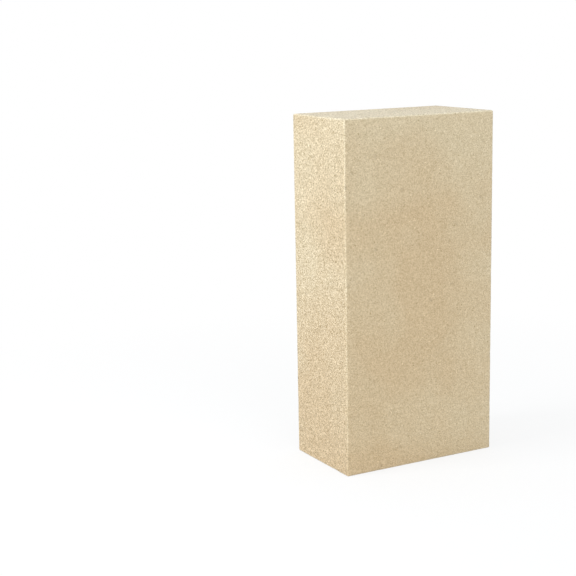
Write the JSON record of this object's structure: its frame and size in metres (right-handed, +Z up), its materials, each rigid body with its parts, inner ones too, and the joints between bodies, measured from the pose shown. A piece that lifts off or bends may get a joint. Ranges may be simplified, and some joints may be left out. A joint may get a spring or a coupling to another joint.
{
  "type": "refractory firebrick",
  "caption": "Plain rectangular refractory brick of pale buff, fine-grained fired ceramic with crisp, slightly rounded edges, for lining kilns, ovens and furnaces.",
  "frame": {"origin": "middle of the lower end, on the floor that the brick stands on", "axes": "+Z up the brick's length, +X along its width, +Y along its thickness, away from the picture's viewer"},
  "size_m": [0.114, 0.065, 0.23],
  "materials": {
    "fired_body": "unglazed and matt, with a fine open grain"
  },
  "bodies": {
    "root": {"firebrick": "fired_body"}
  },
  "joints": []
}
